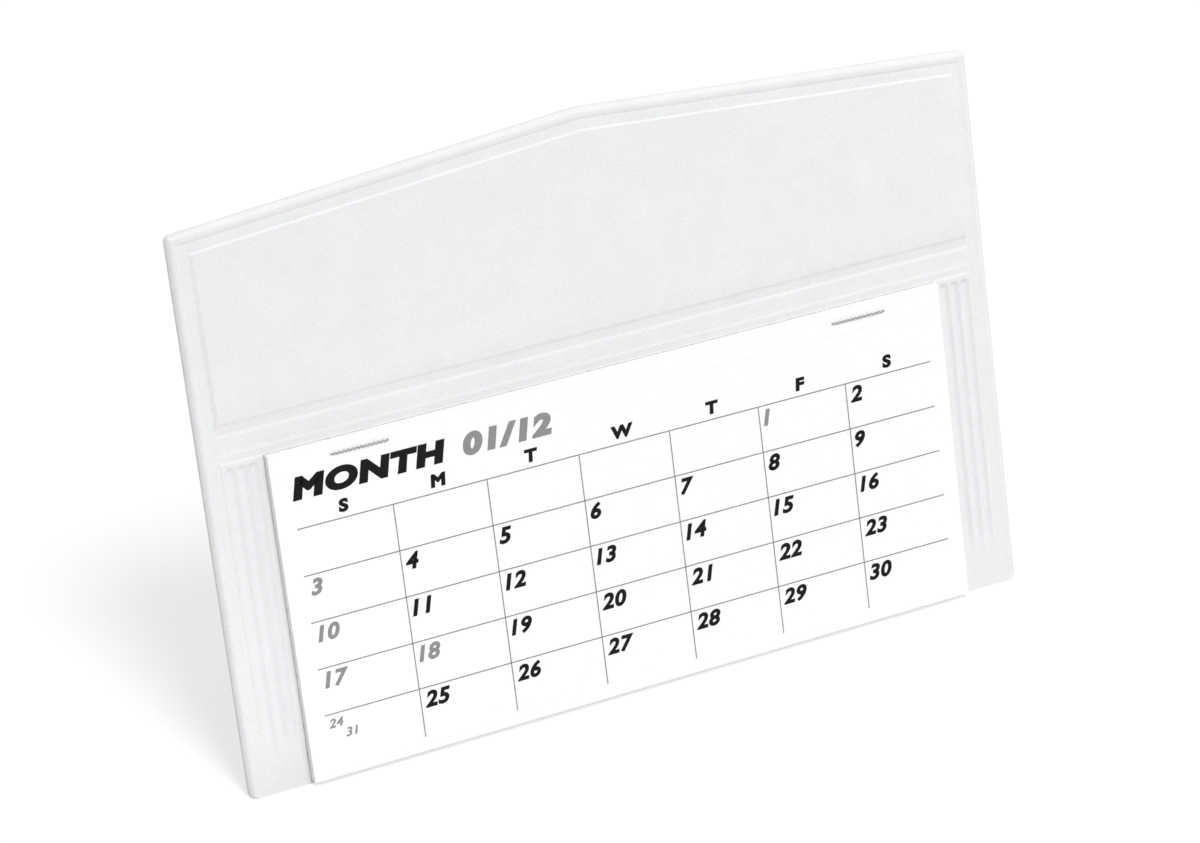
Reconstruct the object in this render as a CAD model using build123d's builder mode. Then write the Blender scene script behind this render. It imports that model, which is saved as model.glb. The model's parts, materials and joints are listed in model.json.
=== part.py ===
"""Standing desk calendar: a welded vinyl holder on an easel leg, with a stitched pad of twelve leaves.

Millimetres, +Z up, +X across the width, the front faces -Y, origin on the desk under the middle.
"""
import os
from math import atan, cos, radians, sin, sqrt, tan

from build123d import *

# Holder panel, measured in its own leaning plane
PANEL_WIDTH = 197.0
SIDE_HEIGHT = 128.3
GABLE_RISE = 7.4
LEAN_ANGLE = 15.0
TOP_CORNER_RADIUS = 1.3
FOOT_CORNER_RADIUS = 2.6
RIM_RADIUS = 0.8
FOOT_TRIM = 0.8

# Layers of the panel
PANEL_BOARD_THICKNESS = 1.6
FRONT_SKIN = 0.6
BACK_SKIN = 0.45
BOARD_INSET = 1.6
BOARD_CLEARANCE = 0.05

# Relief embossed in the front skin
GROOVE_INSET = 2.3
GROOVE_WIDTH = 0.6
GROOVE_DEPTH = 0.25
PLATEAU_INSET = 4.3
PLATEAU_HEIGHT = 0.45
PLATEAU_DRAFT = 40.0
ROLL_LENGTH = 3.4
COVE_WIDTH = 2.6
FRIEZE_LENGTH = 3.6
FRIEZE_HEIGHT = 0.35
RIB_COUNT = 2
RIB_WIDTH = 0.9
RIB_HEIGHT = 0.35
RIB_GAP = 0.35
BAND_CLEARANCE = 0.2
FLUTE_COUNT = 3
FLUTE_MARGIN = 2.1
FLUTE_PITCH = 2.7
FLUTE_WIDTH = 1.9
FLUTE_DEPTH = 0.3
FLUTE_FOOT = 11.0
FLUTE_DROP = 1.6

# Pad
PAD_WIDTH = 168.0
PAD_FOOT = 0.4
PAD_HEIGHT = 75.9
CARD_THICKNESS = 0.6
LEAF_COUNT = 12
LEAF_THICKNESS = 0.1
LEAF_AIR = 0.05
STUB_HEIGHT = 6.0
TEAR_GAP = 0.3

# Wire stitches
WIRE_DIAMETER = 0.4
CROWN_LENGTH = 13.5
CROWN_WAVES = 12
WAVE_HEIGHT = 0.18
BEND_INSIDE = 0.08
STITCH_INSET = 21.5
STITCH_DROP = 3.0
CLINCH_LENGTH = 4.0
WIRE_CLEARANCE = 0.05

# Easel leg, measured down from its hinge
HINGE_HEIGHT = 100.0
OPEN_ANGLE = 30.0
HINGE_STRIP = 0.5
STRIP_WIDTH = 56.0
STRIP_LENGTH = 12.0
STRIP_CLEARANCE = 0.15
LEG_STANDOFF = 0.3
LEG_TOP_GAP = 1.5
LEG_TOP_WIDTH = 62.0
LEG_FOOT_WIDTH = 100.0
LEG_CORNER_RADIUS = 4.0
LEG_SKIN = 0.45
LEG_BOARD_THICKNESS = 1.2
LEG_RIM_RADIUS = 0.5

# Stay strap between the panel and the leg
STRAP_WIDTH = 14.0
STRAP_THICKNESS = 0.35
STRAP_HEIGHT = 24.0
STRAP_RISE = 12.0
STRAP_TAB = 10.0
STRAP_BEND = 1.0
STRAP_CLEARANCE = 0.05

# Levels through the panel, from the plane where its two skins are welded
lean = radians(LEAN_ANGLE)
board_half = PANEL_BOARD_THICKNESS / 2
front_level = board_half + FRONT_SKIN
back_level = -board_half - BACK_SKIN
card_level = front_level + CARD_THICKNESS
leaf_pitch = LEAF_THICKNESS + LEAF_AIR
pad_level = card_level + LEAF_COUNT * leaf_pitch

# Heights up the panel
panel_foot = -front_level * tan(lean) - FOOT_TRIM
pad_top = PAD_FOOT + PAD_HEIGHT
tear_height = pad_top - STUB_HEIGHT
stitch_height = pad_top - STITCH_DROP
ribs_foot = pad_top + BAND_CLEARANCE
frieze_foot = ribs_foot + RIB_COUNT * (RIB_WIDTH + RIB_GAP)
frieze_top = frieze_foot + FRIEZE_LENGTH
plateau_foot = frieze_top + COVE_WIDTH
roll_top = plateau_foot + ROLL_LENGTH

# Levels through the leg, outwards from the hinge axis
leg_inner_level = LEG_STANDOFF
leg_board_level = leg_inner_level + LEG_SKIN
leg_weld_level = leg_board_level + LEG_BOARD_THICKNESS / 2
leg_outer_level = leg_board_level + LEG_BOARD_THICKNESS + LEG_SKIN

# The leg leans the other way, so its foot stands behind the panel
leg_lean = radians(OPEN_ANGLE) - lean
axis_level = back_level - HINGE_STRIP / 2
axis_back = HINGE_HEIGHT * sin(lean) - axis_level * cos(lean)
axis_up = HINGE_HEIGHT * cos(lean) + axis_level * sin(lean)
leg_reach = (axis_up + leg_outer_level * sin(leg_lean)) / cos(leg_lean)
front_reach = pad_level * cos(lean) - PAD_FOOT * sin(lean)
back_reach = axis_back + leg_reach * sin(leg_lean) + leg_outer_level * cos(leg_lean)
panel_back_shift = (front_reach - back_reach) / 2

panel = Plane(
    origin=(0, panel_back_shift, 0), x_dir=(1, 0, 0), z_dir=(0, -cos(lean), sin(lean))
)
leg = Plane(
    origin=panel.from_local_coords((0, HINGE_HEIGHT, axis_level)),
    x_dir=(1, 0, 0),
    z_dir=(0, cos(leg_lean), sin(leg_lean)),
)
panel_side = Plane(origin=panel.origin, x_dir=panel.z_dir, z_dir=(-1, 0, 0))

stitch_centre = PAD_WIDTH / 2 - STITCH_INSET
stitch_centres = {"left": -stitch_centre, "right": stitch_centre}
stitch_legs = [
    (centre + side * CROWN_LENGTH / 2, stitch_height)
    for centre in stitch_centres.values()
    for side in (-1, 1)
]
wire_hole_radius = WIRE_DIAMETER / 2 + WIRE_CLEARANCE


def gable_points(inset, foot):
    """Corners of the gabled outline drawn in by an inset, from its right foot round to its left foot."""
    half = PANEL_WIDTH / 2 - inset
    slope = atan(GABLE_RISE / (PANEL_WIDTH / 2))
    apex = SIDE_HEIGHT + GABLE_RISE - inset / cos(slope)
    side = apex - half * tan(slope)
    return [(half, foot), (half, side), (0, apex), (-half, side), (-half, foot)]


def gable_face(inset, foot, mode=Mode.ADD):
    """Gabled face with sharp corners, drawn in the sketch that is open."""
    with BuildLine() as outline:
        Polyline(*gable_points(inset, foot), close=True)
    make_face(outline.edges(), mode=mode)


def panel_outline(sketch):
    """The panel's full outline, with its top and foot corners rounded."""
    gable_face(0, panel_foot)
    fillet(sketch.vertices().group_by(Axis.Y)[0], FOOT_CORNER_RADIUS)
    fillet(sketch.vertices().group_by(Axis.Y)[-2], TOP_CORNER_RADIUS)


def leg_points(inset, top, foot):
    """Corners of the leg's trapezoid drawn in at its sides, between two distances down the leg."""
    flare = (LEG_FOOT_WIDTH - LEG_TOP_WIDTH) / 2 / (leg_reach - LEG_TOP_GAP)
    sideways = inset * sqrt(1 + flare * flare)
    top_half = LEG_TOP_WIDTH / 2 + flare * (top - LEG_TOP_GAP) - sideways
    foot_half = LEG_TOP_WIDTH / 2 + flare * (foot - LEG_TOP_GAP) - sideways
    return [(-top_half, top), (top_half, top), (foot_half, foot), (-foot_half, foot)]


def leg_face(inset, top, foot, radius):
    """Trapezoid face of the leg with rounded corners, drawn in the sketch that is open."""
    with BuildLine() as outline:
        FilletPolyline(*leg_points(inset, top, foot), radius=radius, close=True)
    make_face(outline.edges())


# Front skin: a shallow vinyl tray over the board, welded to the back skin round its rim
with BuildPart() as front_cover:
    with BuildSketch(panel) as front_outline:
        panel_outline(front_outline)
    extrude(amount=front_level)
    front_face = front_cover.faces().sort_by(Axis(panel.origin, panel.z_dir))[-1]
    fillet(front_face.edges(), RIM_RADIUS)
    with BuildSketch(panel):
        gable_face(BOARD_INSET - BOARD_CLEARANCE, BOARD_INSET - BOARD_CLEARANCE)
    extrude(amount=board_half, mode=Mode.SUBTRACT)

    # Seal groove inside the rim bead
    with BuildSketch(panel.offset(front_level)):
        gable_face(GROOVE_INSET, panel_foot)
        gable_face(GROOVE_INSET + GROOVE_WIDTH, panel_foot, mode=Mode.SUBTRACT)
    extrude(amount=-GROOVE_DEPTH, mode=Mode.SUBTRACT)

    # Raised blank panel under the gable, with a soft roll at its foot
    band_half = PANEL_WIDTH / 2 - PLATEAU_INSET
    plateau_level = front_level + PLATEAU_HEIGHT
    draft_run = PLATEAU_HEIGHT * tan(radians(PLATEAU_DRAFT))
    with BuildSketch(panel.offset(front_level)):
        gable_face(PLATEAU_INSET, roll_top - draft_run)
    extrude(amount=PLATEAU_HEIGHT, taper=PLATEAU_DRAFT)
    with BuildSketch(panel_side):
        with BuildLine():
            Polyline((front_level, plateau_foot), (front_level, roll_top), (plateau_level, roll_top))
            TangentArc((plateau_level, roll_top), (front_level, plateau_foot), tangent=(0, -1))
        make_face()
    extrude(amount=band_half - draft_run, both=True)

    # Frieze band and half-round ribs between the raised panel and the pad
    with BuildSketch(panel_side):
        with BuildLine():
            Polyline(
                (front_level, frieze_top),
                (front_level + FRIEZE_HEIGHT, frieze_top - FRIEZE_HEIGHT / 2),
                (front_level + FRIEZE_HEIGHT / 2, frieze_foot + FRIEZE_HEIGHT / 2),
                (front_level, frieze_foot),
                close=True,
            )
        make_face()
        for rib in range(RIB_COUNT):
            rib_foot = ribs_foot + rib * (RIB_WIDTH + RIB_GAP)
            with BuildLine():
                Line((front_level, rib_foot), (front_level, rib_foot + RIB_WIDTH))
                ThreePointArc(
                    (front_level, rib_foot + RIB_WIDTH),
                    (front_level + RIB_HEIGHT, rib_foot + RIB_WIDTH / 2),
                    (front_level, rib_foot),
                )
            make_face()
    extrude(amount=band_half, both=True)

    # Flutes beside the pad: long scooped channels with round ends
    flute_radius = (FLUTE_WIDTH**2 / 4 + FLUTE_DEPTH**2) / (2 * FLUTE_DEPTH)
    flute_level = front_level - FLUTE_DEPTH + flute_radius
    flute_length = ribs_foot - FLUTE_DROP - FLUTE_FOOT
    flute_middle = FLUTE_FOOT + flute_length / 2
    for side in (-1, 1):
        for flute in range(FLUTE_COUNT):
            flute_x = side * (band_half - FLUTE_MARGIN - flute * FLUTE_PITCH)
            with BuildSketch(panel.offset(flute_level)):
                with Locations((flute_x, flute_middle)):
                    SlotOverall(flute_length, 2 * flute_radius, rotation=90)
                    Rectangle(
                        flute_radius,
                        flute_length,
                        align=(Align.MIN, Align.CENTER),
                        mode=Mode.INTERSECT,
                    )
            flute_middle_point = panel.from_local_coords((flute_x, flute_middle, flute_level))
            revolve(axis=Axis(flute_middle_point, panel.y_dir), mode=Mode.SUBTRACT)

    # Holes that the stitches make
    with BuildSketch(panel.offset(board_half)):
        with Locations(*stitch_legs):
            Circle(wire_hole_radius)
    extrude(amount=FRONT_SKIN, mode=Mode.SUBTRACT)
    split(bisect_by=Plane.XY, keep=Keep.TOP)

# Chipboard stiffener, with the stitch holes and the dents where the wire ends are turned over
with BuildPart() as panel_board:
    with BuildSketch(panel.offset(-board_half)):
        gable_face(BOARD_INSET, BOARD_INSET)
    extrude(amount=PANEL_BOARD_THICKNESS)
    with BuildSketch(panel.offset(-board_half)):
        with Locations(*stitch_legs):
            Circle(wire_hole_radius)
    extrude(amount=PANEL_BOARD_THICKNESS, mode=Mode.SUBTRACT)
    dent_length = CLINCH_LENGTH + 2 * wire_hole_radius
    with BuildSketch(panel.offset(-board_half)):
        for centre in stitch_centres.values():
            for side in (-1, 1):
                dent_centre = centre + side * (CROWN_LENGTH - CLINCH_LENGTH) / 2
                with Locations((dent_centre, stitch_height)):
                    SlotOverall(dent_length, 2 * wire_hole_radius)
    extrude(amount=2 * wire_hole_radius, mode=Mode.SUBTRACT)

# Back skin
with BuildPart() as back_cover:
    with BuildSketch(panel) as back_outline:
        panel_outline(back_outline)
    extrude(amount=back_level)
    back_face = back_cover.faces().sort_by(Axis(panel.origin, panel.z_dir))[0]
    fillet(back_face.edges(), RIM_RADIUS)
    with BuildSketch(panel):
        gable_face(BOARD_INSET - BOARD_CLEARANCE, BOARD_INSET - BOARD_CLEARANCE)
    extrude(amount=-board_half, mode=Mode.SUBTRACT)
    split(bisect_by=Plane.XY, keep=Keep.TOP)

# Backing card of the pad
with BuildPart() as pad_card:
    with BuildSketch(panel.offset(front_level)):
        with Locations((0, PAD_FOOT + PAD_HEIGHT / 2)):
            Rectangle(PAD_WIDTH, PAD_HEIGHT)
        with Locations(*stitch_legs):
            Circle(wire_hole_radius, mode=Mode.SUBTRACT)
    extrude(amount=CARD_THICKNESS)

# Strips of the leaves above the tear line
stub_foot = tear_height + TEAR_GAP / 2
with BuildPart() as sheet_stubs:
    for number in range(LEAF_COUNT):
        with BuildSketch(panel.offset(card_level + LEAF_AIR + number * leaf_pitch)):
            with Locations((0, (stub_foot + pad_top) / 2)):
                Rectangle(PAD_WIDTH, pad_top - stub_foot)
            with Locations(*stitch_legs):
                Circle(wire_hole_radius, mode=Mode.SUBTRACT)
        extrude(amount=LEAF_THICKNESS)

# Month leaves below the tear line, the first month on top
leaf_top = tear_height - TEAR_GAP / 2
leaves = {}
for month in range(1, LEAF_COUNT + 1):
    leaf_level = pad_level - (month - 1) * leaf_pitch - LEAF_THICKNESS
    with BuildPart() as leaf:
        with BuildSketch(panel.offset(leaf_level)):
            with Locations((0, (PAD_FOOT + leaf_top) / 2)):
                Rectangle(PAD_WIDTH, leaf_top - PAD_FOOT)
        extrude(amount=LEAF_THICKNESS)
    leaves[f"leaf_{month:02d}"] = leaf

# Wire stitches: a crimped crown on the pad, two legs through it, their ends turned in behind the board
crown_level = pad_level + WIRE_DIAMETER / 2
clinch_level = -board_half + wire_hole_radius
wire_bend = BEND_INSIDE + WIRE_DIAMETER / 2
wave_pitch = (CROWN_LENGTH - 4 * wire_bend) / CROWN_WAVES
stitches = {}
for name, centre in stitch_centres.items():
    with BuildPart() as stitch:

        def wire_point(x, up, level):
            """A point of this stitch, across and up from its middle, at a level of the panel."""
            return panel.from_local_coords((centre + x, stitch_height + up, level))

        half_crown = CROWN_LENGTH / 2
        half_waved = wave_pitch * CROWN_WAVES / 2
        crests = [
            wire_point(
                wave_pitch * (half_wave + 0.5) / 2 - half_waved,
                WAVE_HEIGHT if half_wave % 2 == 0 else -WAVE_HEIGHT,
                crown_level,
            )
            for half_wave in range(2 * CROWN_WAVES)
        ]
        with BuildLine() as wire_path:
            FilletPolyline(
                wire_point(CLINCH_LENGTH - half_crown, 0, clinch_level),
                wire_point(-half_crown, 0, clinch_level),
                wire_point(-half_crown, 0, crown_level),
                wire_point(-half_waved, 0, crown_level),
                *crests,
                wire_point(half_waved, 0, crown_level),
                wire_point(half_crown, 0, crown_level),
                wire_point(half_crown, 0, clinch_level),
                wire_point(half_crown - CLINCH_LENGTH, 0, clinch_level),
                radius=wire_bend,
            )
        wire = wire_path.wires()[0]
        with BuildSketch(Plane(origin=wire @ 0, z_dir=wire % 0)):
            Circle(WIRE_DIAMETER / 2)
        sweep(path=wire)
    stitches[f"staple_{name}"] = stitch

# Hinge strip: the upper half is welded to the panel and rolled round the fold line, the lower to the leg
with BuildPart() as hinge_strip_upper:
    with BuildSketch(panel_side):
        with Locations((axis_level, HINGE_HEIGHT + STRIP_LENGTH / 2)):
            Rectangle(HINGE_STRIP, STRIP_LENGTH)
        with Locations((axis_level, HINGE_HEIGHT)):
            Circle(HINGE_STRIP / 2)
    extrude(amount=STRIP_WIDTH / 2, both=True)

strip_start = HINGE_STRIP / 2 + STRIP_CLEARANCE
strip_floor = STRIP_CLEARANCE - HINGE_STRIP / 2
with BuildPart() as hinge_strip_lower:
    with BuildSketch(leg.offset(strip_floor)):
        with Locations((0, (strip_start + STRIP_LENGTH) / 2)):
            Rectangle(STRIP_WIDTH, STRIP_LENGTH - strip_start)
    extrude(amount=leg_inner_level - strip_floor)

# Easel leg: a board in two vinyl skins, trimmed where it stands on the desk
leg_raw_foot = leg_reach + FOOT_TRIM
leg_board_top = LEG_TOP_GAP + BOARD_INSET
leg_board_foot = axis_up / cos(leg_lean) - BOARD_INSET
pocket_inset = BOARD_INSET - BOARD_CLEARANCE
leg_skins = {}
for name, level, board_face in (
    ("leg_inner_cover", leg_inner_level, leg_board_level),
    ("leg_outer_cover", leg_outer_level, leg_board_level + LEG_BOARD_THICKNESS),
):
    with BuildPart() as leg_skin:
        with BuildSketch(leg.offset(leg_weld_level)):
            leg_face(0, LEG_TOP_GAP, leg_raw_foot, LEG_CORNER_RADIUS)
        extrude(amount=level - leg_weld_level)
        outward = Axis(leg.origin, leg.z_dir if level > leg_weld_level else -leg.z_dir)
        fillet(leg_skin.faces().sort_by(outward)[-1].edges(), LEG_RIM_RADIUS)
        with BuildSketch(leg.offset(leg_weld_level)):
            leg_face(
                pocket_inset,
                leg_board_top - BOARD_CLEARANCE,
                leg_board_foot + BOARD_CLEARANCE,
                LEG_CORNER_RADIUS - pocket_inset,
            )
        extrude(amount=board_face - leg_weld_level, mode=Mode.SUBTRACT)
        split(bisect_by=Plane.XY, keep=Keep.TOP)
    leg_skins[name] = leg_skin

with BuildPart() as leg_board:
    with BuildSketch(leg.offset(leg_board_level)):
        leg_face(BOARD_INSET, leg_board_top, leg_board_foot, LEG_CORNER_RADIUS - BOARD_INSET)
    extrude(amount=LEG_BOARD_THICKNESS)

# Stay strap: a tab welded to the panel, a taut span and a tab welded to the inner face of the leg
strap_offset = STRAP_THICKNESS / 2 + STRAP_CLEARANCE
strap_level = back_level - strap_offset
leg_strap_level = leg_inner_level - strap_offset
leg_strap_place = HINGE_HEIGHT - STRAP_HEIGHT - STRAP_RISE
with BuildPart() as stay_strap:
    with BuildLine() as strap_path:
        FilletPolyline(
            panel.from_local_coords((0, STRAP_HEIGHT - STRAP_TAB, strap_level)),
            panel.from_local_coords((0, STRAP_HEIGHT, strap_level)),
            leg.from_local_coords((0, leg_strap_place, leg_strap_level)),
            leg.from_local_coords((0, leg_strap_place - STRAP_TAB, leg_strap_level)),
            radius=STRAP_BEND,
        )
    strap_line = strap_path.wires()[0]
    with BuildSketch(Plane(origin=strap_line @ 0, x_dir=(1, 0, 0), z_dir=strap_line % 0)):
        Rectangle(STRAP_WIDTH, STRAP_THICKNESS)
    sweep(path=strap_line)

pieces = {
    "front_cover": front_cover,
    "panel_board": panel_board,
    "back_cover": back_cover,
    "pad_card": pad_card,
    "sheet_stubs": sheet_stubs,
    "hinge_strip_upper": hinge_strip_upper,
    "hinge_strip_lower": hinge_strip_lower,
    "leg_board": leg_board,
    "stay_strap": stay_strap,
}
pieces.update(leaves)
pieces.update(stitches)
pieces.update(leg_skins)

os.makedirs("parts", exist_ok=True)
for name, piece in pieces.items():
    piece.part.label = name
    export_step(piece.part, f"parts/{name}.step")
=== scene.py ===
"""Standing desk calendar: a white vinyl holder on an easel leg, with a stitched pad of month leaves.

Sizes are millimetres. Most pieces are modelled flat, in their own plane, and then stood in the part's
frame, which is in metres.
"""
import json
from math import atan, cos, radians, sin, sqrt, tan

import bmesh
import bpy
from mathutils import Matrix, Vector


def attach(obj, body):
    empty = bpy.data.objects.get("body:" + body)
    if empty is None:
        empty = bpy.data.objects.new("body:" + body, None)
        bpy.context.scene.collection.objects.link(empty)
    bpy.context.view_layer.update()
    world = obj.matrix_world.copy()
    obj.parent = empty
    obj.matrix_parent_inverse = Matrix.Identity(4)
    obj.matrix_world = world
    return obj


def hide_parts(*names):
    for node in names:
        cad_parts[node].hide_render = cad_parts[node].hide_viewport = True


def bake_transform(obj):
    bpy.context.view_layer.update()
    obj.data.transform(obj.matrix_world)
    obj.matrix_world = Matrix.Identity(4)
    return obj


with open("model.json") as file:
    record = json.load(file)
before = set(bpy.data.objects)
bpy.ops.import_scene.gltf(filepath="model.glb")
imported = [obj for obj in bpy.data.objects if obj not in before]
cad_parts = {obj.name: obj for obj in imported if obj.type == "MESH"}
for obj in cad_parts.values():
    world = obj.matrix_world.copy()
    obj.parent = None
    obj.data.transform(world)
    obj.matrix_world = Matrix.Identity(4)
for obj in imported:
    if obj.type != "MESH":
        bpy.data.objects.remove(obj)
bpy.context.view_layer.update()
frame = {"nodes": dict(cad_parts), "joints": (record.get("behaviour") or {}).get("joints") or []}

nodes = frame["nodes"]
joints = {joint["name"]: joint for joint in frame["joints"]}

# Metres in a millimetre, and the distance in millimetres at which two places count as one
MM = 0.001
TOUCH = 0.01

# Holder panel
HALF_WIDTH = 98.5
SIDE_HEIGHT = 128.3
GABLE_RISE = 7.4
GABLE_SLOPE = atan(GABLE_RISE / HALF_WIDTH)
LEAN = radians(15)
TOP_CORNER = 1.3
FOOT_CORNER = 2.6
FOOT_TRIM = 1.175
CORNER_ZONE = 4.2
FRONT_LEVEL = 1.4
BACK_LEVEL = 1.25
FRONT_SHELL = 0.3
BACK_SHELL = 0.25
SEAM_GAP = 0.03
SEAM_DRAW_IN = 0.2
RIM_LIFT = 4
DESK_TOUCH = 0.02
SOFT_ANGLE = 50

# Rolled bead and seal crease inside it, weaker on the right, and their trace on the back
EDGE_LEVEL = 0.7
BACK_EDGE_LEVEL = 0.15
BEAD_LEVEL = 1.64
BEAD_CROWN = 1.25
CREASE_INSET = 2.35
CREASE_LEVEL = 1.36
CREASE_END = 2.8
TOP_SHARE = 0.87
RIGHT_SEAL = 0.35
SEAL_CHANGE = 2.0
BACK_TRACE = 0.12

# Raised panel under the gable, with a gentler flank on the left
PLATEAU_INSET = 4.3
PLATEAU_BEVEL = 0.42
LEFT_BEVEL = 1.3
FLANK_CHANGE = (84.0, 88.0)
PLATEAU_HEIGHT = 0.62
PLATEAU_FALL = 0.007
ROLL_LENGTH = 3.6

# Fluted strips, ribs, frieze and cove under the raised panel: height up the panel, then over its face
MOULDING = (
    (6.0, 0.0),
    (18.0, 0.2),
    (76.1, 0.2),
    (76.6, 0.0),
    (78.15, 0.1),
    (78.45, 0.0),
    (82.35, 0.09),
    (82.7, -0.06),
    (84.8, 0.22),
    (85.3, 0.42),
)

# Flutes beside the pad
FLUTE_MIDDLES = (86.7, 89.4, 92.1)
FLUTE_HALF = 1.26
FLUTE_DEPTH = 0.5
FLUTE_TOP = 73.95
FLUTE_FADE = (7.0, 15.0)

# Lines that the two skins are drawn through, closer where the relief is finer: from, to and how many
FRONT_COLUMNS = ((0, 83.0, 12), (83.0, 94.7, 78), (94.7, HALF_WIDTH, 24))
FRONT_FOOT_ROWS = ((-0.375, 6.0, 6), (6.0, 18.0, 10), (18.0, 72.0, 8), (72.0, 76.1, 18))
FRONT_RIM_ROWS = ((6.0, 3.6, 16), (3.6, 0, 24))
FRONT_TURN = 89.6
FRONT_TURN_ROWS = 8
FIRST_RIB = 2
NARROW_STEP = 0.5
NARROW_ROWS = 2
WIDE_ROWS = 6
ROLL_ROWS = 14
BACK_COLUMNS = ((0, 94.0, 10), (94.0, HALF_WIDTH, 26))
BACK_FOOT_ROWS = ((0, 6.0, 6),)
BACK_RIM_ROWS = ((5.0, 0, 30),)
BACK_TURN = 6.0
BACK_TURN_ROWS = 12

# Pad
PAD_HALF = 84.0
PAD_FOOT = 0.4
PAD_LEVEL = 3.8
TEAR_HEIGHT = 70.3
LEAF_TOP = 70.15
LEAF_COUNT = 12
LEAF_PITCH = 0.15
LEAF_THICKNESS = 0.1
LEAF_ROWS = 6
TOOTH_COUNT = 96
TOOTH_LENGTH = 0.29
SLIT_SHARE = 0.04

# Print on the leaves
INK_LIFT = 0.008
INK_THICKNESS = 0.012
INK_FADE = 1.25
INK_HAZE = 0.003
GRID_TOP = 58.4
GRID_FOOT = 3.7
GRID_LEFT = -79.6
GRID_ROWS = 5
ROW_PITCH = 10.87
COLUMN_PITCH = 22.8
RULE_WIDTH = 0.28
WEEK = 7
DAYS_IN_MONTH = (31, 28, 31, 30, 31, 30, 31, 31, 30, 31, 30, 31)
FIRST_WEEKDAY = 5
TITLE_FOOT = 64.9
TITLE_GAP = 4.0
WEEKDAY_INITIALS = "SMTWTFS"
WEEKDAY_FOOT = 59.8
GREY_DAYS = {(1, 1), (1, 18)}
LATE_DAYS = range(22, 32)

# Places of the dates from the upper left corner of their cell, where two can share one
DAY_PLACE = (1.1, -4.7)
UPPER_PLACE = (0.7, -3.1)
LOWER_PLACE = (4.4, -6.0)

# Letters and figures: height, slant, weight and stretch
TITLE_STYLE = (5.4, 0.16, 0.07, 1.4)
COUNT_STYLE = (5.4, 0.16, 0.065, 1.3)
WEEKDAY_STYLE = (3.1, 0.08, 0.06, 1.2)
DAY_STYLE = (3.9, 0.22, 0.042, 1.1)
SMALL_STYLE = (2.15, 0.22, 0.028, 1.1)
FIGURE_DEPTH = 0.01
FIGURE_STEPS = 5
FIGURE_WELD = 0.0005

# Easel leg, measured down from its hinge and outwards from the hinge axis
OPEN_ANGLE = radians(30)
LEG_LEAN = OPEN_ANGLE - LEAN
LEG_TOP_GAP = 1.5
LEG_TOP_HALF = 31.0
LEG_FOOT_HALF = 50.0
LEG_REACH = 100.24
LEG_FOOT_TRIM = 0.8
LEG_CORNER = 4.0
LEG_CORNER_STEPS = 8
LEG_WELD = 1.35
LEG_SKIN_HEIGHT = 1.05
LEG_BOARD_HALF = 0.6
LEG_POCKET_INSET = 1.55
LEG_RIM = 0.5
LEG_RIM_STEPS = 4
LEG_SEAL_INSET = 2.2
LEG_SEAL_HALF = 0.3
LEG_SEAL_DEPTH = 0.14
LEG_SOFT_ANGLE = 35
DESK_CUT = 0.001

# Hinge strip and stay strap, measured from the hinge axis
STRIP_HALF = 28.0
STRIP_REACH = 12.0
STRIP_THICKNESS = 0.4
STRIP_BEND = 2.0
STRIP_CORNER = 2.0
STRIP_LIFT = -0.03
STRIP_COLUMNS = 12
CORNER_ROWS = 6
STRIP_ROWS = 40
LEG_LIFT = 0.1
STRAP_HALF = 7.0
STRAP_THICKNESS = 0.35
STRAP_LENGTH = 60.0
STRAP_LIFT = -0.025
STRAP_ROWS = 56
STRAP_PANEL_END = 86.0
STRAP_PANEL_BEND = 76.0
STRAP_LEG_BEND = 64.0
STRAP_LEG_END = 54.0


def plane_frame(origin, up, outward):
    """Matrix that stands a piece modelled flat, with +Y up or down the plane and +Z out of it."""
    turn = Matrix((Vector((1, 0, 0)), up, outward)).transposed()
    return Matrix.Translation(origin) @ turn.to_4x4()


panel_up = Vector((0, sin(LEAN), cos(LEAN)))
panel_out = Vector((0, -cos(LEAN), sin(LEAN)))
tear_line = Vector(joints["leaf_01_lift"]["pos_m"])
panel_origin = tear_line - (panel_up * TEAR_HEIGHT + panel_out * PAD_LEVEL) * MM
PANEL = plane_frame(panel_origin, panel_up, panel_out)
hinge_axis = Vector(joints["leg_fold"]["pos_m"])
leg_down = Vector((0, sin(LEG_LEAN), -cos(LEG_LEAN)))
leg_out = Vector((0, cos(LEG_LEAN), sin(LEG_LEAN)))
LEG = plane_frame(hinge_axis, leg_down, leg_out)


# Modelling steps that several pieces share


def smooth(low, high, value):
    """Soft step from 0 at low to 1 at high."""
    share = min(max((value - low) / (high - low), 0), 1)
    return share * share * (3 - 2 * share)


def spread(start, stop, count):
    """Evenly spaced places from start up to, but not counting, stop."""
    return [start + (stop - start) * step / count for step in range(count)]


def lines_through(bands):
    """Places through bands of (start, stop, count), without the last stop."""
    return [place for band in bands for place in spread(*band)]


def deselect():
    """Nothing stays selected before a new piece is begun."""
    bpy.ops.object.select_all(action="DESELECT")


def hold(piece):
    """Makes one piece the only selected and active one."""
    deselect()
    piece.select_set(True)
    bpy.context.view_layer.objects.active = piece


def pick(kind, test):
    """In edit mode, selects the vertices, edges or faces that pass a test."""
    mesh = bpy.context.edit_object.data
    bpy.ops.mesh.select_mode(type=kind)
    bpy.ops.mesh.select_all(action="DESELECT")
    shape = bmesh.from_edit_mesh(mesh)
    for element in {"VERT": shape.verts, "EDGE": shape.edges, "FACE": shape.faces}[kind]:
        element.select_set(test(element))
    shape.select_flush_mode()
    bmesh.update_edit_mesh(mesh)


def upright(face):
    """True for a face that stands up from the plane of its piece."""
    return abs(face.normal.z) < 0.5


def edit(piece):
    """Opens a piece in edit mode with all of it selected."""
    hold(piece)
    bpy.ops.object.mode_set(mode="EDIT")
    bpy.ops.mesh.select_all(action="SELECT")


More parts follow.
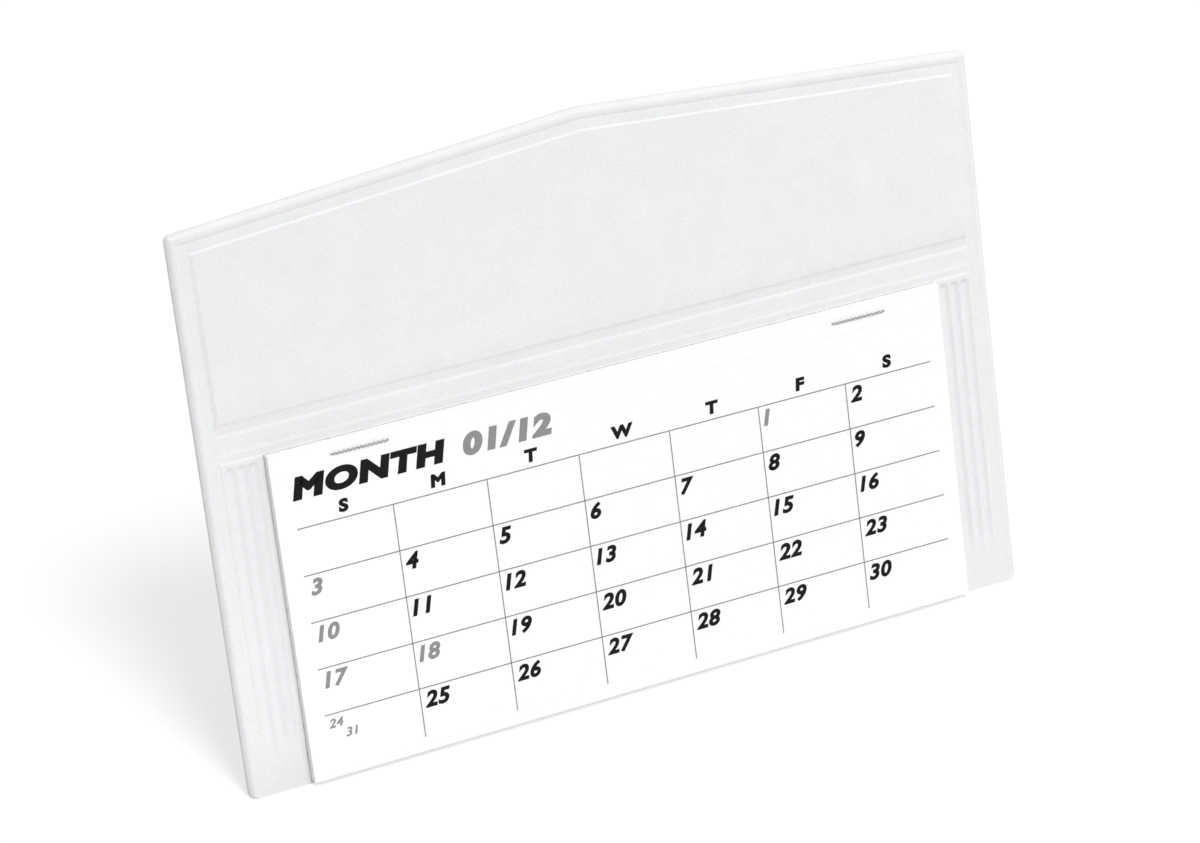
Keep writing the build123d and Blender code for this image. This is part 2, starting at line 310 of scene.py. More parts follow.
def close_edit():
    """Turns all faces outwards and goes back to object mode."""
    bpy.ops.mesh.select_all(action="SELECT")
    bpy.ops.mesh.normals_make_consistent(inside=False)
    bpy.ops.object.mode_set(mode="OBJECT")


def thicken(piece, thickness, offset):
    """Gives a sheet its thickness, and applies it."""
    hold(piece)
    solidify = piece.modifiers.new("thickness", "SOLIDIFY")
    solidify.thickness = thickness * MM
    solidify.offset = offset
    solidify.use_even_offset = True
    bpy.ops.object.modifier_apply(modifier=solidify.name)


def stand(piece, plane):
    """Puts a flat piece into its plane, with its place kept in its mesh."""
    hold(piece)
    piece.matrix_world = plane
    bpy.ops.object.transform_apply(location=True, rotation=True, scale=True)


def soften(piece, angle):
    """Smooth shading across every edge that turns less than an angle."""
    hold(piece)
    bpy.ops.object.shade_smooth_by_angle(angle=radians(angle))


def dress(piece, name, material, body):
    """Names a finished piece, gives it its finish and lets it ride on a body."""
    piece.name = name
    piece.data.name = name
    piece.data.materials.clear()
    piece.data.materials.append(material)
    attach(piece, body)


# Finishes


def finish_nodes(name, colour, roughness):
    """A new finish with its shader, and object coordinates to hang patterns on."""
    material = bpy.data.materials.new(name)
    material.use_nodes = True
    tree = material.node_tree
    shader = tree.nodes["Principled BSDF"]
    shader.inputs["Base Color"].default_value = (*colour, 1)
    shader.inputs["Roughness"].default_value = roughness
    place = tree.nodes.new("ShaderNodeTexCoord").outputs["Object"]
    return material, tree, shader, place


def noise(tree, place, scale, detail=2.0, stretch=None):
    """Noise over the object, if asked for drawn out along its axes."""
    if stretch:
        mapping = tree.nodes.new("ShaderNodeMapping")
        mapping.inputs["Scale"].default_value = stretch
        tree.links.new(place, mapping.inputs["Vector"])
        place = mapping.outputs["Vector"]
    texture = tree.nodes.new("ShaderNodeTexNoise")
    texture.inputs["Scale"].default_value = scale
    texture.inputs["Detail"].default_value = detail
    tree.links.new(place, texture.inputs["Vector"])
    return texture.outputs["Fac"]


def cells(tree, place, scale):
    """Distance to the nearest pebble of a soft cell pattern."""
    texture = tree.nodes.new("ShaderNodeTexVoronoi")
    texture.feature = "SMOOTH_F1"
    texture.inputs["Scale"].default_value = scale
    texture.inputs["Smoothness"].default_value = 0.6
    tree.links.new(place, texture.inputs["Vector"])
    return texture.outputs["Distance"]


def ramp(tree, value, stops):
    """Colours between stops of (place, colour)."""
    node = tree.nodes.new("ShaderNodeValToRGB")
    node.color_ramp.elements[0].position = stops[0][0]
    node.color_ramp.elements[0].color = (*stops[0][1], 1)
    node.color_ramp.elements[1].position = stops[-1][0]
    node.color_ramp.elements[1].color = (*stops[-1][1], 1)
    for position, colour in stops[1:-1]:
        node.color_ramp.elements.new(position).color = (*colour, 1)
    tree.links.new(value, node.inputs["Fac"])
    return node.outputs["Color"]


def spread_value(tree, value, low, high):
    """A 0 to 1 pattern spread between two values."""
    node = tree.nodes.new("ShaderNodeMapRange")
    node.inputs["To Min"].default_value = low
    node.inputs["To Max"].default_value = high
    tree.links.new(value, node.inputs["Value"])
    return node.outputs["Result"]


def shaded(tree, colour, pattern, low, high):
    """A colour made darker and lighter by a pattern."""
    node = tree.nodes.new("ShaderNodeVectorMath")
    node.operation = "SCALE"
    tree.links.new(colour, node.inputs[0])
    tree.links.new(spread_value(tree, pattern, low, high), node.inputs["Scale"])
    return node.outputs["Vector"]


def relief(tree, shader, height, distance, strength, under=None):
    """Bump from a height pattern, over another bump where one is given."""
    node = tree.nodes.new("ShaderNodeBump")
    node.inputs["Distance"].default_value = distance * MM
    node.inputs["Strength"].default_value = strength
    tree.links.new(height, node.inputs["Height"])
    if under:
        tree.links.new(under, node.inputs["Normal"])
    tree.links.new(node.outputs["Normal"], shader.inputs["Normal"])
    return node.outputs["Normal"]


def white_vinyl():
    """White calendered vinyl: a fine leathery grain, faint mottling and a dull sheen."""
    material, tree, shader, place = finish_nodes("white_vinyl", (0.79, 0.798, 0.812), roughness=0.5)
    grain = noise(tree, place, scale=2400, detail=4)
    tint = ramp(tree, grain, [(0.34, (0.76, 0.768, 0.783)), (0.66, (0.818, 0.826, 0.839))])
    mottled = shaded(tree, tint, noise(tree, place, scale=120, detail=5), low=0.96, high=1.04)
    tree.links.new(mottled, shader.inputs["Base Color"])
    sheen = spread_value(tree, noise(tree, place, scale=900, detail=3), low=0.42, high=0.6)
    tree.links.new(sheen, shader.inputs["Roughness"])
    wrinkles = relief(tree, shader, noise(tree, place, scale=700, detail=4), distance=0.06, strength=0.35)
    relief(tree, shader, cells(tree, place, scale=1900), distance=0.05, strength=0.5, under=wrinkles)
    shader.inputs["Specular IOR Level"].default_value = 0.35
    return material


def pad_paper():
    """White uncoated paper with a trace of its fibres."""
    material, tree, shader, place = finish_nodes("pad_paper", (0.93, 0.93, 0.93), roughness=0.8)
    fibres = noise(tree, place, scale=1800, detail=4, stretch=(1, 0.35, 0.35))
    tint = ramp(tree, fibres, [(0.3, (0.92, 0.92, 0.92)), (0.7, (0.94, 0.94, 0.942))])
    tree.links.new(tint, shader.inputs["Base Color"])
    relief(tree, shader, fibres, distance=0.02, strength=0.25)
    shader.inputs["Specular IOR Level"].default_value = 0.2
    return material


def grey_board(name, pale, dark, fleck):
    """Pulp board: a grey felt of fibres with darker flecks."""
    material, tree, shader, place = finish_nodes(name, pale, roughness=0.9)
    felt = noise(tree, place, scale=700, detail=6, stretch=(1, 0.4, 0.6))
    tint = ramp(tree, felt, [(0.3, fleck), (0.42, dark), (0.7, pale)])
    tree.links.new(tint, shader.inputs["Base Color"])
    relief(tree, shader, felt, distance=0.05, strength=0.4)
    shader.inputs["Specular IOR Level"].default_value = 0.15
    return material


def steel_wire():
    """Drawn stitching wire, dull grey with fine scratches along it."""
    material, tree, shader, place = finish_nodes("steel_wire", (0.33, 0.335, 0.345), roughness=0.4)
    scratches = noise(tree, place, scale=2500, detail=3, stretch=(0.25, 1, 1))
    tint = ramp(tree, scratches, [(0.3, (0.26, 0.265, 0.275)), (0.7, (0.4, 0.405, 0.415))])
    tree.links.new(tint, shader.inputs["Base Color"])
    tree.links.new(spread_value(tree, scratches, low=0.3, high=0.5), shader.inputs["Roughness"])
    relief(tree, shader, scratches, distance=0.01, strength=0.3)
    shader.inputs["Metallic"].default_value = 1.0
    return material


def printing_ink(name, colour):
    """Flat printing ink that lets a little of the paper's tooth through."""
    material, tree, shader, place = finish_nodes(name, colour, roughness=0.6)
    tooth = noise(tree, place, scale=2600, detail=3)
    paler = tuple(value * INK_FADE + INK_HAZE for value in colour)
    tree.links.new(ramp(tree, tooth, [(0.4, colour), (0.75, paler)]), shader.inputs["Base Color"])
    relief(tree, shader, tooth, distance=0.01, strength=0.2)
    shader.inputs["Specular IOR Level"].default_value = 0.1
    return material


VINYL = white_vinyl()
PAPER = pad_paper()
CARD = grey_board(
    "grey_card",
    pale=(0.6, 0.585, 0.55),
    dark=(0.5, 0.485, 0.45),
    fleck=(0.3, 0.29, 0.27),
)
CHIPBOARD = grey_board(
    "chipboard",
    pale=(0.47, 0.42, 0.35),
    dark=(0.38, 0.33, 0.27),
    fleck=(0.2, 0.17, 0.14),
)
WIRE = steel_wire()
BLACK_INK = printing_ink("black_ink", (0.007, 0.0065, 0.0068))
GREY_INK = printing_ink("grey_ink", (0.25, 0.25, 0.257))


# Embossed front skin and plain back skin of the panel


def gable_height(x):
    """Height of the panel's top edge at a place across it."""
    return SIDE_HEIGHT + GABLE_RISE - abs(x) * tan(GABLE_SLOPE)


def draw_in(distance, radius):
    """How far a rounded corner draws the side in, at a distance from the edge that the corner ends at."""
    if distance >= radius:
        return 0
    return radius - sqrt(radius * radius - (radius - distance) ** 2)


def outline_place(x, up):
    """A place of the panel, drawn in where the top and foot corners are rounded."""
    side = HALF_WIDTH - abs(x)
    if side >= CORNER_ZONE:
        return x, up
    pulled = draw_in(gable_height(x) - up, TOP_CORNER) + draw_in(up + FOOT_TRIM, FOOT_CORNER)
    side = pulled + side * (1 - pulled / CORNER_ZONE)
    return (HALF_WIDTH - side if x > 0 else side - HALF_WIDTH), up


def bead_level(inset, pressed):
    """Height of the rolled bead and of the seal crease inside it, at a distance in from the edge."""
    crown = FRONT_LEVEL + (BEAD_LEVEL - FRONT_LEVEL) * pressed
    crease = FRONT_LEVEL + (CREASE_LEVEL - FRONT_LEVEL) * pressed
    if inset < BEAD_CROWN:
        return crown - (crown - EDGE_LEVEL) * (1 - inset / BEAD_CROWN) ** 2
    if inset < CREASE_INSET:
        across = (inset - BEAD_CROWN) / (CREASE_INSET - BEAD_CROWN)
        return crease + (crown - crease) * (1 - across**3)
    return crease + (FRONT_LEVEL - crease) * smooth(CREASE_INSET, CREASE_END, inset)


def moulding_height(up):
    """Height of the ribs, frieze and cove above the pad, and of the roll that starts the raised panel."""
    for (foot, foot_height), (top, top_height) in zip(MOULDING, MOULDING[1:]):
        if foot <= up < top:
            return foot_height + (top_height - foot_height) * (up - foot) / (top - foot)
    foot, foot_height = MOULDING[-1]
    if up < foot:
        return 0
    below = max(1 - (up - foot) / ROLL_LENGTH, 0)
    face = PLATEAU_HEIGHT - PLATEAU_FALL * max(up - foot - ROLL_LENGTH, 0)
    return face + (foot_height - PLATEAU_HEIGHT) * below * below


def flute_depth(x, up):
    """Depth of the scooped flutes beside the pad: round at the top and fading out above the foot."""
    above = max(up - FLUTE_TOP, 0)
    for middle in FLUTE_MIDDLES:
        away = sqrt((abs(x) - middle) ** 2 + above**2) / FLUTE_HALF
        if away < 1:
            return FLUTE_DEPTH * (1 - away * away) * smooth(*FLUTE_FADE, up)
    return 0


def front_level(x, up):
    """Level of the embossed front skin."""
    side = HALF_WIDTH - abs(x)
    top = (gable_height(x) - up) * cos(GABLE_SLOPE) * TOP_SHARE
    inset = min(side, top)
    if inset < CREASE_END:
        along_top = smooth(-SEAL_CHANGE, SEAL_CHANGE, side - top)
        return bead_level(inset, 1 if x < 0 else RIGHT_SEAL + (1 - RIGHT_SEAL) * along_top)
    widened = smooth(*FLANK_CHANGE, up) if x < 0 else 0
    flank = PLATEAU_BEVEL + (LEFT_BEVEL - PLATEAU_BEVEL) * widened
    raised = smooth(0, flank, side - PLATEAU_INSET) * smooth(0, PLATEAU_BEVEL, top - PLATEAU_INSET)
    return FRONT_LEVEL + moulding_height(up) * raised - flute_depth(x, up)


def back_level(x, up):
    """Level of the plain back skin: a rolled rim and the trace of the seal."""
    inset = min(HALF_WIDTH - abs(x), (gable_height(x) - up) * cos(GABLE_SLOPE))
    rim = min(inset / BEAD_CROWN, 1)
    depth = BACK_LEVEL - (BACK_LEVEL - BACK_EDGE_LEVEL) * (1 - rim) ** 2
    trace = smooth(BEAD_CROWN, CREASE_INSET, inset) - smooth(CREASE_INSET, CREASE_END, inset)
    return -depth + BACK_TRACE * trace


def gable_rows(heights, turn, turn_count, rim):
    """Level rows, then rows that swing from a turning height to the gable, then rows along its rim.

    A row is a share of the top edge's height and a rise, so rows near the top follow the gable.
    """
    rows = [(0, up) for up in heights]
    rows += [(share, (1 - share) * turn - share * rim[0]) for share in spread(0, 1, turn_count)]
    return rows + [(1, -under) for under in rim]


def gabled_skin(half_columns, rows, level_at, seam_level, thickness):
    """A vinyl skin over the gabled outline, turned down to the seam all round and given its thickness."""
    columns = [-x for x in reversed(half_columns[1:])] + half_columns
    deselect()
    bpy.ops.mesh.primitive_grid_add(x_subdivisions=len(columns) - 1, y_subdivisions=len(rows) - 1, size=2)
    skin = bpy.context.object
    for vertex in skin.data.vertices:
        x = columns[round((vertex.co.x + 1) / 2 * (len(columns) - 1))]
        share, rise = rows[round((vertex.co.y + 1) / 2 * (len(rows) - 1))]
        up = share * gable_height(x) + rise
        vertex.co = Vector((*outline_place(x, up), level_at(x, up))) * MM

    edit(skin)
    bpy.ops.mesh.select_mode(type="EDGE")
    bpy.ops.mesh.region_to_loop()
    bpy.ops.mesh.extrude_edges_move()
    bpy.ops.transform.resize(value=(1, 1, 0), center_override=(0, 0, seam_level * RIM_LIFT * MM))
    bpy.ops.mesh.extrude_edges_move()
    seam_size = 1 - SEAM_DRAW_IN / HALF_WIDTH
    middle = (0, SIDE_HEIGHT / 2 * MM, seam_level * MM)
    bpy.ops.transform.resize(value=(seam_size, seam_size, 0), center_override=middle)
    close_edit()

    stand(skin, PANEL)
    edit(skin)
    pick("VERT", lambda vertex: vertex.co.z < DESK_TOUCH * MM)
    bpy.ops.transform.resize(value=(1, 1, 0), center_override=(0, 0, 0))
    bpy.ops.object.mode_set(mode="OBJECT")
    thicken(skin, thickness, -1)
    return skin


front_columns = lines_through(FRONT_COLUMNS) + [HALF_WIDTH]
front_heights = lines_through(FRONT_FOOT_ROWS)
step_heights = [height for height, rise in MOULDING[FIRST_RIB:]]
for step_foot, step_top in zip(step_heights, step_heights[1:]):
    row_count = NARROW_ROWS if step_top - step_foot < NARROW_STEP else WIDE_ROWS
    front_heights += spread(step_foot, step_top, row_count)
front_heights += spread(step_heights[-1], FRONT_TURN, ROLL_ROWS)
front_rim = lines_through(FRONT_RIM_ROWS) + [0]
front_rows = gable_rows(front_heights, FRONT_TURN, FRONT_TURN_ROWS, front_rim)
front_skin = gabled_skin(front_columns, front_rows, front_level, SEAM_GAP, FRONT_SHELL)
soften(front_skin, SOFT_ANGLE)
dress(front_skin, "embossed_front", VINYL, "holder")
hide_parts("front_cover")

back_columns = lines_through(BACK_COLUMNS) + [HALF_WIDTH]
back_rim = lines_through(BACK_RIM_ROWS) + [0]
back_rows = gable_rows(lines_through(BACK_FOOT_ROWS), BACK_TURN, BACK_TURN_ROWS, back_rim)
back_skin = gabled_skin(back_columns, back_rows, back_level, -SEAM_GAP, BACK_SHELL)
soften(back_skin, SOFT_ANGLE)
dress(back_skin, "panel_back", VINYL, "holder")
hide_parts("back_cover")


# Easel leg: two welded skins over its board


def leg_skin(side):
    """One skin of the leg, to one side of its weld: rolled rim, seal groove and a hollow for the board."""
    deselect()
    bpy.ops.mesh.primitive_plane_add(size=2)
    skin = bpy.context.object
    flare = (LEG_FOOT_HALF - LEG_TOP_HALF) / (LEG_REACH - LEG_TOP_GAP)
    for vertex in skin.data.vertices:
        down = LEG_TOP_GAP if vertex.co.y < 0 else LEG_REACH + LEG_FOOT_TRIM
        half = LEG_TOP_HALF + flare * (down - LEG_TOP_GAP)
        vertex.co = Vector((half if vertex.co.x > 0 else -half, down, LEG_WELD)) * MM

    edit(skin)
    bpy.ops.mesh.bevel(offset=LEG_CORNER * MM, segments=LEG_CORNER_STEPS, affect="VERTICES")
    bpy.ops.mesh.select_all(action="SELECT")
    rise = side * LEG_SKIN_HEIGHT * MM
    bpy.ops.mesh.extrude_region_move(TRANSFORM_OT_translate={"value": (0, 0, rise)})
    face_level = (LEG_WELD + side * LEG_SKIN_HEIGHT) * MM
    bpy.ops.mesh.normals_make_consistent(inside=False)
    bpy.ops.mesh.inset(thickness=LEG_SEAL_INSET * MM)
    bpy.ops.mesh.inset(thickness=LEG_SEAL_HALF * MM, depth=-LEG_SEAL_DEPTH * MM)
    bpy.ops.mesh.inset(thickness=LEG_SEAL_HALF * MM, depth=LEG_SEAL_DEPTH * MM)

    def on_rim(edge):
        """Edges round the outside of the skin's face."""
        walls = [face for face in edge.link_faces if upright(face)]
        on_face = all(abs(vertex.co.z - face_level) < TOUCH * MM for vertex in edge.verts)
        return len(walls) == 1 and on_face

    pick("EDGE", on_rim)
    bpy.ops.mesh.bevel(offset=LEG_RIM * MM, segments=LEG_RIM_STEPS, affect="EDGES")
    pick("FACE", lambda face: abs(face.calc_center_median().z - LEG_WELD * MM) < TOUCH * MM)
    bpy.ops.mesh.inset(thickness=LEG_POCKET_INSET * MM)
    hollow = side * LEG_BOARD_HALF * MM
    bpy.ops.mesh.extrude_region_move(TRANSFORM_OT_translate={"value": (0, 0, hollow)})
    close_edit()

    stand(skin, LEG)
    edit(skin)
    desk = {"plane_co": (0, 0, 0), "plane_no": (0, 0, 1), "threshold": DESK_CUT * MM}
    bpy.ops.mesh.bisect(use_fill=True, clear_inner=True, **desk)
    close_edit()
    soften(skin, LEG_SOFT_ANGLE)
    return skin


leg_outer = leg_skin(1)
dress(leg_outer, "leg_outer_skin", VINYL, "easel_leg")
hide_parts("leg_outer_cover")
leg_inner = leg_skin(-1)
dress(leg_inner, "leg_inner_skin", VINYL, "easel_leg")
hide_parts("leg_inner_cover")


# Vinyl strips laid in a bend from panel to leg


def from_hinge(x, reach, opened, lift):
    """A point at a reach below the hinge, turned towards the leg by an angle and lifted off that plane."""
    turn = opened - LEAN
    down = Vector((0, sin(turn), -cos(turn)))
    out = Vector((0, cos(turn), sin(turn)))
    return hinge_axis + (Vector((x, 0, 0)) + down * reach + out * lift) * MM


def strip_place(x, along):
    """A point of the hinge strip: along the panel above the axis, along the leg below it."""
    share = smooth(-STRIP_BEND, STRIP_BEND, along)
    return from_hinge(x, along, OPEN_ANGLE * share, LEG_LIFT * share + STRIP_LIFT)


def strap_place(x, along):
    """A point of the stay strap, which leaves the panel and meets the leg in an easy curve."""
    first = STRAP_PANEL_END - STRAP_PANEL_BEND
    if along < first:
        return from_hinge(x, STRAP_PANEL_END - along, 0, STRAP_LIFT)
    last = STRAP_LEG_BEND - STRAP_LEG_END
    share = (along - first) / (STRAP_LENGTH - first - last)
    if share > 1:
        tab_reach = STRAP_LEG_BEND - (along - (STRAP_LENGTH - last))
        return from_hinge(x, tab_reach, OPEN_ANGLE, LEG_LIFT + STRAP_LIFT)
    eased = smooth(0, 1, share)
    opened = OPEN_ANGLE * eased
    fall = STRAP_PANEL_BEND + (STRAP_LEG_BEND - STRAP_PANEL_BEND) * share
    reach = fall * cos(OPEN_ANGLE / 2) / cos(opened - OPEN_ANGLE / 2)
    return from_hinge(x, reach, opened, LEG_LIFT * eased + STRAP_LIFT)


def bent_strip(half_width, places, place_at, thickness):
    """A strip of vinyl with rounded corners, laid along a bent path."""
    deselect()
    bpy.ops.mesh.primitive_grid_add(x_subdivisions=STRIP_COLUMNS, y_subdivisions=len(places) - 1, size=2)
    strip = bpy.context.object
    for vertex in strip.data.vertices:
        along = places[round((vertex.co.y + 1) / 2 * (len(places) - 1))]
        drawn = max(draw_in(along - places[0], STRIP_CORNER), draw_in(places[-1] - along, STRIP_CORNER))
        vertex.co = place_at(vertex.co.x * (half_width - drawn), along)
    edit(strip)
    close_edit()
    thicken(strip, thickness, 0)
    soften(strip, SOFT_ANGLE)
    return strip


def strip_rows(first, last, count):
    """Places along a strip, close together at its two rounded ends."""
    first_inner = first + STRIP_CORNER
    last_inner = last - STRIP_CORNER
    first_end = (first, first_inner, CORNER_ROWS)
    last_end = (last_inner, last, CORNER_ROWS)
    return lines_through((first_end, (first_inner, last_inner, count), last_end)) + [last]


def dress_bent(strip, name):
    """Names a vinyl strip, gives it the vinyl finish and bakes its place into its mesh."""
    strip.name = name
    strip.data.name = name
    strip.data.materials.append(VINYL)
    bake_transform(strip)


hinge_rows = strip_rows(-STRIP_REACH, STRIP_REACH, STRIP_ROWS)
hinge_strip = bent_strip(STRIP_HALF, hinge_rows, strip_place, STRIP_THICKNESS)
dress_bent(hinge_strip, "hinge_strip")
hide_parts("hinge_strip_upper", "hinge_strip_lower")

strap_rows = strip_rows(0, STRAP_LENGTH, STRAP_ROWS)
stay_strap = bent_strip(STRAP_HALF, strap_rows, strap_place, STRAP_THICKNESS)
dress_bent(stay_strap, "strap_of_vinyl")
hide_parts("stay_strap")


# Month leaves and their print


def leaf_sheet(number):
    """One paper leaf, its upper edge cut into the teeth of the tear line."""
    back = PAD_LEVEL - (number - 1) * LEAF_PITCH - LEAF_THICKNESS
    last_line = 2 * TOOTH_COUNT - 1
    deselect()
    bpy.ops.mesh.primitive_grid_add(x_subdivisions=last_line, y_subdivisions=LEAF_ROWS, size=2)
    sheet = bpy.context.object
    pitch = (2 * PAD_HALF + SLIT_SHARE * PAD_HALF * 2 / TOOTH_COUNT) / TOOTH_COUNT
    for vertex in sheet.data.vertices:
        line = round((vertex.co.x + 1) / 2 * last_line)
        x = (line // 2) * pitch + (line % 2) * (1 - SLIT_SHARE) * pitch - PAD_HALF
        up = PAD_FOOT + (vertex.co.y + 1) / 2 * (LEAF_TOP - PAD_FOOT)
        vertex.co = Vector((x, up, back + LEAF_THICKNESS)) * MM
    edit(sheet)

    def tooth_root(edge):
        """The wide edges along the top of the sheet, between the narrow slits."""
        on_top = all(abs(vertex.co.y - LEAF_TOP * MM) < TOUCH * MM for vertex in edge.verts)
        return on_top and edge.calc_length() > pitch / 2 * MM

    pick("EDGE", tooth_root)
    bpy.ops.mesh.extrude_edges_move(TRANSFORM_OT_translate={"value": (0, TOOTH_LENGTH * MM, 0)})
    close_edit()
    thicken(sheet, LEAF_THICKNESS, -1)
    stand(sheet, PANEL)
    return sheet


def ink_figure(text, height, slant, weight, stretch):
    """A word or number as a thin layer of ink that stands on the origin, drawn out in width."""
    deselect()
    bpy.ops.object.text_add()
    sign = bpy.context.object
    sign.data.body = text
    sign.data.shear = slant
    sign.data.extrude = FIGURE_DEPTH
    sign.data.resolution_u = FIGURE_STEPS
    sign.data.space_character = 1 + 2 * weight
    bpy.ops.object.convert(target="MESH")
    sign = bpy.context.object
    edit(sign)
    bpy.ops.mesh.remove_doubles(threshold=FIGURE_WELD)
    bpy.ops.mesh.normals_make_consistent(inside=False)
    pick("FACE", upright)
    bpy.ops.transform.shrink_fatten(value=weight, use_even_offset=True)
    close_edit()
    left = min(vertex.co.x for vertex in sign.data.vertices)
    foot = min(vertex.co.y for vertex in sign.data.vertices)
    size = height * MM / (max(vertex.co.y for vertex in sign.data.vertices) - foot)
    for vertex in sign.data.vertices:
        thickness = INK_THICKNESS * MM if vertex.co.z > 0 else 0
        vertex.co = ((vertex.co.x - left) * size * stretch, (vertex.co.y - foot) * size, thickness)
    return sign


def put_copy(piece, x, up):
    """A copy of a flat piece, with its own mesh, moved to a place on the pad."""
    copy = piece.copy()
    copy.data = piece.data.copy()
    copy.data.transform(Matrix.Translation(Vector((x, up, 0)) * MM))
    bpy.context.scene.collection.objects.link(copy)
    return copy


def join_pieces(pieces):
    """Joins flat pieces into the first of them."""
    deselect()
    for piece in pieces:
        piece.select_set(True)
    bpy.context.view_layer.objects.active = pieces[0]
    bpy.ops.object.join()
    return pieces[0]


def width_of(piece):
    """Width of a flat piece, in millimetres."""
    return max(vertex.co.x for vertex in piece.data.vertices) / MM


def ruled_grid():
    """The grid's ruled lines as thin layers of ink."""
    grid_right = GRID_LEFT + WEEK * COLUMN_PITCH
    lines = [(GRID_LEFT, grid_right, GRID_TOP - row * ROW_PITCH, None) for row in range(GRID_ROWS)]
    lines += [(GRID_LEFT + column * COLUMN_PITCH, None, GRID_FOOT, GRID_TOP) for column in range(1, WEEK)]
    rules = []
    for left, right, foot, top in lines:
        width = right - left if right else RULE_WIDTH
        height = top - foot if top else RULE_WIDTH
        middle = Vector((left + width / 2, foot + height / 2, 0)) * MM
        deselect()
        bpy.ops.mesh.primitive_plane_add(size=1)
        rule = bpy.context.object
        edit(rule)
        bpy.ops.transform.resize(value=(width * MM, height * MM, 1), center_override=(0, 0, 0))
        bpy.ops.transform.translate(value=middle)
        bpy.ops.mesh.extrude_region_move(TRANSFORM_OT_translate={"value": (0, 0, INK_THICKNESS * MM)})
        close_edit()
        rules.append(rule)
    return join_pieces(rules)


def month_days(month):
    """Each day of a month with its row and column in the grid."""
    first = (FIRST_WEEKDAY + sum(DAYS_IN_MONTH[: month - 1])) % WEEK
    count = DAYS_IN_MONTH[month - 1]
    return [(day, *divmod(first + day - 1, WEEK)) for day in range(1, count + 1)]


def leaf_print(month):
    """The black and the grey print of one leaf, flat."""
    black = [put_copy(title_figure, GRID_LEFT, TITLE_FOOT)]
    count_left = GRID_LEFT + width_of(title_figure) + TITLE_GAP
    grey = [put_copy(grid, 0, 0), put_copy(count_figures[month], count_left, TITLE_FOOT)]
    for column, letter in enumerate(WEEKDAY_INITIALS):
        head = weekday_figures[letter]
        middle = GRID_LEFT + (column + 0.5) * COLUMN_PITCH
        black.append(put_copy(head, middle - width_of(head) / 2, WEEKDAY_FOOT))
    days = month_days(month)
    shared = {column for day, row, column in days if row == GRID_ROWS}
    for day, row, column in days:
        inks = grey if column == 0 or (month, day) in GREY_DAYS else black
        cell_row = min(row, GRID_ROWS - 1)
        if row == GRID_ROWS:
            figure = small_figures[day]
            across, rise = LOWER_PLACE
        elif cell_row == GRID_ROWS - 1 and column in shared:
            figure = small_figures[day]
            across, rise = UPPER_PLACE
        else:
            figure = day_figures[day]
            across, rise = DAY_PLACE
        cell_left = GRID_LEFT + column * COLUMN_PITCH
        cell_top = GRID_TOP - cell_row * ROW_PITCH
        inks.append(put_copy(figure, cell_left + across, cell_top + rise))
    return join_pieces(black), join_pieces(grey)


months = range(1, LEAF_COUNT + 1)
letters = sorted(set(WEEKDAY_INITIALS))
all_days = range(1, max(DAYS_IN_MONTH) + 1)
title_figure = ink_figure("MONTH", *TITLE_STYLE)
count_figures = {month: ink_figure(f"{month:02d}/{LEAF_COUNT}", *COUNT_STYLE) for month in months}
weekday_figures = {letter: ink_figure(letter, *WEEKDAY_STYLE) for letter in letters}
day_figures = {day: ink_figure(str(day), *DAY_STYLE) for day in all_days}
small_figures = {day: ink_figure(str(day), *SMALL_STYLE) for day in LATE_DAYS}
grid = ruled_grid()

for number in months:
    body = f"leaf_{number:02d}"
    sheet = leaf_sheet(number)
    dress(sheet, f"month_sheet_{number:02d}", PAPER, body)
    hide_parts(body)
    ink_level = PAD_LEVEL - (number - 1) * LEAF_PITCH + INK_LIFT
    plane = PANEL @ Matrix.Translation(Vector((0, 0, ink_level * MM)))
    black, grey = leaf_print(number)
    for ink, name, material in ((black, "black_ink", BLACK_INK), (grey, "grey_ink", GREY_INK)):
        stand(ink, plane)
        dress(ink, f"{name}_{number:02d}", material, body)

patterns = [grid, title_figure]
for figures in (count_figures, weekday_figures, day_figures, small_figures):
    patterns += figures.values()
for pattern in patterns:
    bpy.data.objects.remove(pattern)


# Finishes of the solids that show as they are
for name, material in (
    ("panel_board", CHIPBOARD),
    ("leg_board", CHIPBOARD),
    ("pad_card", CARD),
    ("sheet_stubs", PAPER),
    ("staple_left", WIRE),
    ("staple_right", WIRE),
):
    nodes[name].data.materials.clear()
    nodes[name].data.materials.append(material)


# Studio, in metres: pale floor, key lamp, soft box on the right, low bounce card, white surround
FLOOR_SIZE = 12
FLOOR_COLOUR = (0.75, 0.75, 0.75, 1)
FLOOR_SHOWN = (0.42, 0.42, 0.425, 1)
FLOOR_GLOW = 0.61
KEY_FROM = (0.03, -0.5, 0.86)
KEY_STRENGTH = 1.8
KEY_ANGLE = 18
BOX_PLACE = (0.4, -0.2, 0.36)
BOX_AIM = (0, 0, 0.065)
BOX_SIZE = 0.4
BOX_ENERGY = 0.29
BOUNCE_PLACE = (-0.094, -0.09, 0.001)
BOUNCE_AIM = (-0.094, -0.09, 1)
BOUNCE_SIZE = 0.06
BOUNCE_ENERGY = 0.014
SURROUND_LEFT = 0.43
SURROUND_RIGHT = 0.57


def seen_straight(tree):
    """1 for rays from the camera, a mirror or glass, and 0 for the light that falls on the object."""
    path = tree.nodes.new("ShaderNodeLightPath")
    first = tree.nodes.new("ShaderNodeMath")
    first.operation = "MAXIMUM"
    tree.links.new(path.outputs["Is Camera Ray"], first.inputs[0])
    tree.links.new(path.outputs["Is Glossy Ray"], first.inputs[1])
    second = tree.nodes.new("ShaderNodeMath")
    second.operation = "MAXIMUM"
    tree.links.new(first.outputs[0], second.inputs[0])
    tree.links.new(path.outputs["Is Transmission Ray"], second.inputs[1])
    return second.outputs[0]


